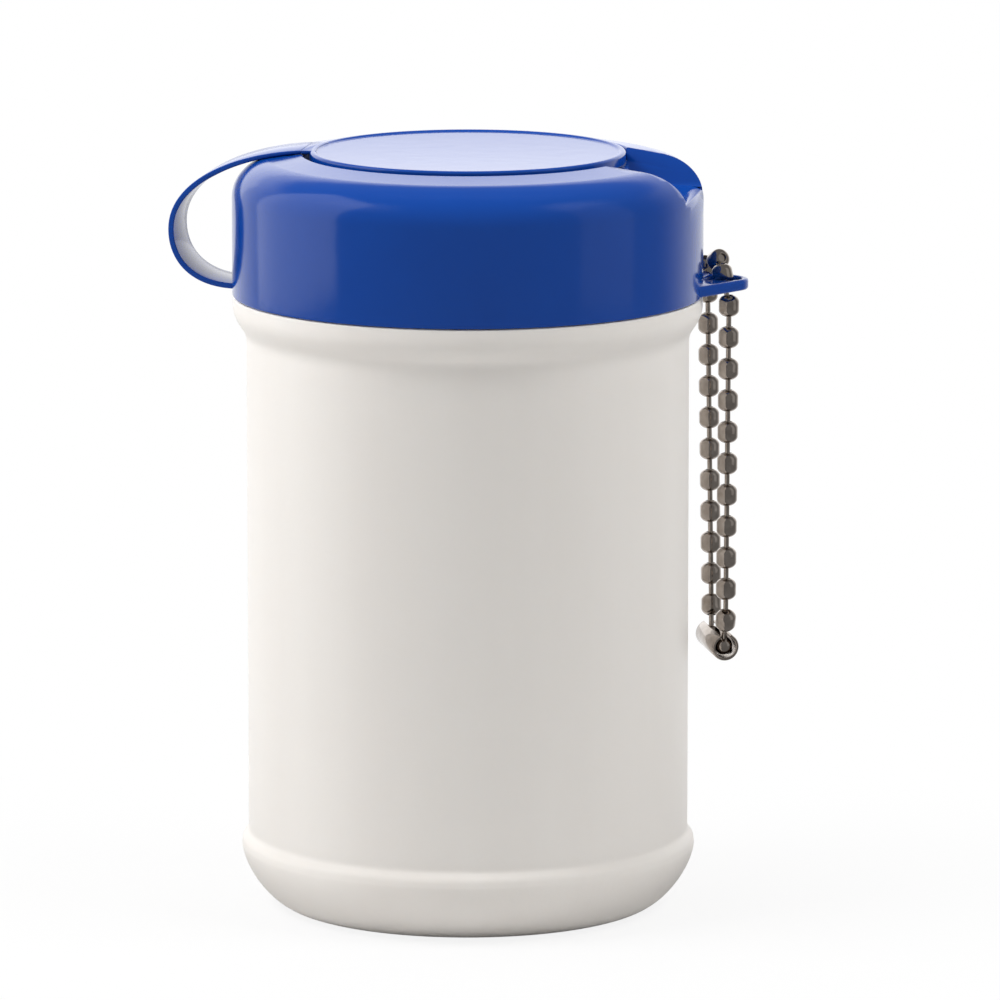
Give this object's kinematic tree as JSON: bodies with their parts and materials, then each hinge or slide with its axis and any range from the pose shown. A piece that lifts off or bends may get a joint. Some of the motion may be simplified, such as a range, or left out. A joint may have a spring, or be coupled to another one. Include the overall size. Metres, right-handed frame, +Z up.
{
  "type": "wipes canister",
  "caption": "Travel-size wipes canister: white round bottle, blue screw cap, flip lid on a looped strap, and a ball chain through an eye on the cap.",
  "frame": {"origin": "centre of the canister's flat base", "axes": "+Z up along the canister; the lid's strap points along -X and the thumb channel along +X"},
  "size_m": [0.0669, 0.055, 0.0891],
  "materials": {
    "white_shell": "satin blown polyethylene",
    "blue_plastic": "glossy moulded polypropylene",
    "wipe_cloth": "matt non-woven",
    "dark_nickel": "polished dark nickel"
  },
  "bodies": {
    "canister": {"canister_body": "white_shell", "wipes_roll": "wipe_cloth"},
    "cap": {"screw_cap": "blue_plastic", "chain_top_near": "dark_nickel", "chain_top_crown": "dark_nickel", "chain_top_far": "dark_nickel"},
    "lid": {"flip_lid": "blue_plastic"},
    "chain_upper": {"chain_near_01": "dark_nickel", "chain_near_02": "dark_nickel", "chain_near_03": "dark_nickel", "chain_near_04": "dark_nickel", "chain_near_05": "dark_nickel", "chain_far_01": "dark_nickel", "chain_far_02": "dark_nickel", "chain_far_03": "dark_nickel", "chain_far_04": "dark_nickel", "chain_far_05": "dark_nickel"},
    "chain_lower": {"chain_near_06": "dark_nickel", "chain_near_07": "dark_nickel", "chain_near_08": "dark_nickel", "chain_near_09": "dark_nickel", "chain_near_10": "dark_nickel", "chain_near_11": "dark_nickel", "chain_far_06": "dark_nickel", "chain_far_07": "dark_nickel", "chain_far_08": "dark_nickel", "chain_far_09": "dark_nickel", "chain_far_10": "dark_nickel", "chain_far_11": "dark_nickel", "chain_near_end_ball": "dark_nickel", "chain_far_end_ball": "dark_nickel", "chain_coupling": "dark_nickel"}
  },
  "joints": [
    {"name": "cap_lift", "type": "slide", "parent": "canister", "child": "cap", "axis": [0, 0, 1], "range_m": [0, 0.025]},
    {"name": "lid_hinge", "type": "hinge", "parent": "cap", "child": "lid", "pos_m": [-0.01909, 0, 0.08925], "axis": [0, -1, 0], "range_deg": [0, 140]},
    {"name": "chain_swing", "type": "hinge", "parent": "cap", "child": "chain_upper", "pos_m": [0.02965, 0.00807, 0.07035], "axis": [0.4237, -0.9049, -0.0402], "range_deg": [-2, 80]},
    {"name": "chain_fold", "type": "hinge", "parent": "chain_upper", "child": "chain_lower", "pos_m": [0.02954, 0.00805, 0.0516], "axis": [0.3853, -0.9219, -0.0411], "range_deg": [0, 80]}
  ]
}
